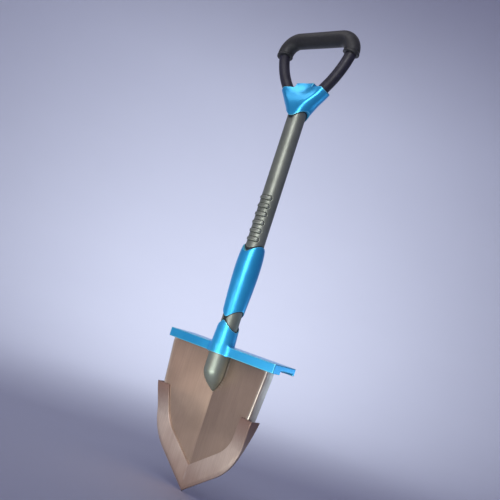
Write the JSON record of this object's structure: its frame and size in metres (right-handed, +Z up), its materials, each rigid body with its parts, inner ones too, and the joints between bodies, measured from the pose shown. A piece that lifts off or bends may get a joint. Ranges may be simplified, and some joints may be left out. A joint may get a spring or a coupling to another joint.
{
  "type": "detecting shovel",
  "caption": "Short digging shovel with a D-handle, a tubular shaft with thumb ribs and a sleeve, a wide foot plate, and a pointed folded steel blade with a raised cutting edge.",
  "frame": {"origin": "bottom centre of the bounding box, which is at the back of the blade's point", "axes": "+Z up the shaft towards the grip, the blade's hollow front faces -Y, +X runs along the blade's width"},
  "size_m": [0.2152, 0.068, 0.75],
  "materials": {
    "blade_steel": "satin, brushed along the blade, warm",
    "edge_steel": "satin, ground",
    "olive_metal": "satin olive-grey coating",
    "azure_moulding": "glossy azure moulding",
    "black_tube": "satin black",
    "grip_rubber": "matte soft grip",
    "seal_rubber": "matte",
    "black_plastic": "matte",
    "core_alloy": "drawn",
    "zinc": "zinc plated"
  },
  "bodies": {
    "root": {"blade": "blade_steel", "cutting_edge": "edge_steel", "blade_socket": "olive_metal", "socket_welds": "edge_steel", "socket_rivets": "zinc", "foot_plate": "azure_moulding", "plate_screws": "zinc", "collar_screw": "zinc", "shaft_tube": "olive_metal", "shaft_core": "core_alloy", "shaft_plug": "black_plastic", "thumb_ribs": "olive_metal", "lower_sleeve": "azure_moulding", "sleeve_rings": "black_plastic", "sleeve_screws": "zinc", "sleeve_top_seal": "seal_rubber", "sleeve_foot_seal": "seal_rubber", "collar_seal": "seal_rubber", "yoke": "azure_moulding", "yoke_seal": "seal_rubber", "yoke_screws": "zinc", "handle_tube": "black_tube", "grip_sleeve": "grip_rubber"}
  },
  "joints": []
}
